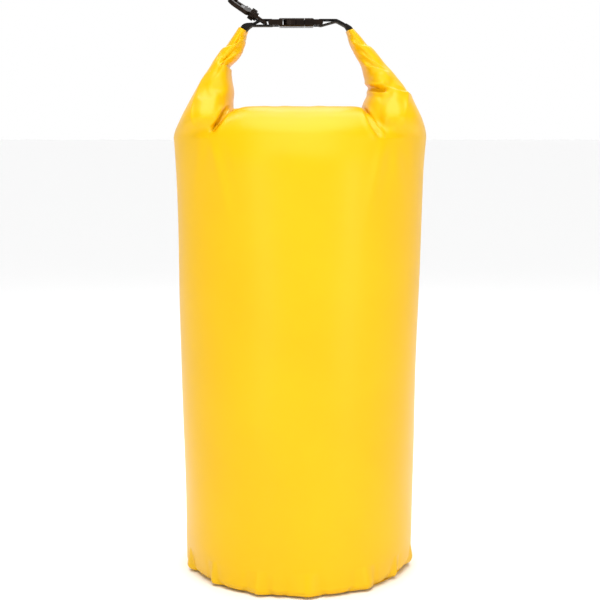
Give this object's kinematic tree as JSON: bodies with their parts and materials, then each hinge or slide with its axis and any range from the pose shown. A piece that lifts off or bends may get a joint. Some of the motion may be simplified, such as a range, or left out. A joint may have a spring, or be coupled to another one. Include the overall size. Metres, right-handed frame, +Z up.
{
  "type": "stuff sack",
  "caption": "Roll-top stuff sack of coated fabric with a round base; its rolled mouth bends up into a handle closed by a side-release buckle, with a swivel snap hook.",
  "frame": {"origin": "centre of the bottom face of the base panel", "axes": "+Z up, +X along the rolled mouth and the buckle towards the buckle's plug half, +Y from front to back"},
  "size_m": [0.293, 0.271, 0.6686],
  "materials": {
    "fabric": "yellow coated fabric, satin sheen",
    "fabric_inner": "inner side of the coated fabric, matt",
    "webbing": "black woven polypropylene",
    "thread": "black bonded thread",
    "strip": "black plastic strip",
    "hardware": "black acetal, smooth",
    "metal": "stainless steel"
  },
  "bodies": {
    "bag": {"bag_body": "fabric", "base_panel": "fabric", "back_seam_strip": "fabric", "rolled_mouth_middle": "fabric_inner", "stiffener_middle": "strip"},
    "arm_left": {"shoulder_gusset_left": "fabric", "rolled_mouth_left": "fabric_inner", "stiffener_left": "strip", "webbing_left": "webbing", "webbing_stitching_left": "thread"},
    "arm_right": {"shoulder_gusset_right": "fabric", "rolled_mouth_right": "fabric_inner", "stiffener_right": "strip", "webbing_right": "webbing", "webbing_stitching_right": "thread"},
    "socket": {"buckle_socket": "hardware"},
    "plug": {"buckle_plug": "hardware"},
    "prong_front": {"plug_prong_front": "hardware"},
    "prong_back": {"plug_prong_back": "hardware"},
    "eye": {"hook_eye": "hardware"},
    "hook": {"hook_body": "hardware", "hook_swivel_rivet": "metal", "hook_gate_pin": "metal", "hook_gate_spring": "metal"},
    "gate": {"hook_gate": "hardware"}
  },
  "joints": [
    {"name": "right_arm_swing", "type": "hinge", "parent": "bag", "child": "arm_right", "pos_m": [0.087, 0, 0.543], "axis": [0, 1, 0], "range_deg": [0, 40], "deforming": ["plug_prong_front", "plug_prong_back"]},
    {"name": "left_arm_swing", "type": "hinge", "parent": "bag", "child": "arm_left", "pos_m": [-0.097, 0, 0.543], "axis": [0, -1, 0], "range_deg": [0, 40]},
    {"name": "plug_level", "type": "hinge", "parent": "arm_right", "child": "plug", "pos_m": [0.023, 0, 0.6385], "axis": [0, -1, 0], "range_deg": [0, 40]},
    {"name": "socket_level", "type": "hinge", "parent": "arm_left", "child": "socket", "pos_m": [-0.033, 0, 0.6385], "axis": [0, 1, 0], "range_deg": [0, 40]},
    {"name": "front_prong_press", "type": "hinge", "parent": "plug", "child": "prong_front", "pos_m": [0.0048, -0.0096, 0.6385], "axis": [0, 0, -1], "range_deg": [0, 14], "stiffness_Nm_per_rad": 0.5},
    {"name": "back_prong_press", "type": "hinge", "parent": "plug", "child": "prong_back", "pos_m": [0.0048, 0.0096, 0.6385], "axis": [0, 0, 1], "range_deg": [0, 14], "stiffness_Nm_per_rad": 0.5},
    {"name": "hook_swing", "type": "hinge", "parent": "arm_left", "child": "eye", "pos_m": [-0.0395, 0, 0.638], "axis": [0, 1, 0], "range_deg": [0, 85]},
    {"name": "hook_swivel", "type": "hinge", "parent": "eye", "child": "hook", "pos_m": [-0.0395, 0, 0.638], "axis": [-0.829, 0, 0.5592], "continuous": true},
    {"name": "gate_swing", "type": "hinge", "parent": "hook", "child": "gate", "pos_m": [-0.06058, 0.00838, 0.65503], "axis": [0.5389, -0.2672, 0.7989], "range_deg": [0, 25], "stiffness_Nm_per_rad": 0.02, "deforming": ["hook_gate_spring"]}
  ],
  "couplings": [
    {"joint": "left_arm_swing", "follows": "right_arm_swing", "ratio": 1},
    {"joint": "plug_level", "follows": "right_arm_swing", "ratio": 1},
    {"joint": "socket_level", "follows": "right_arm_swing", "ratio": 1}
  ]
}
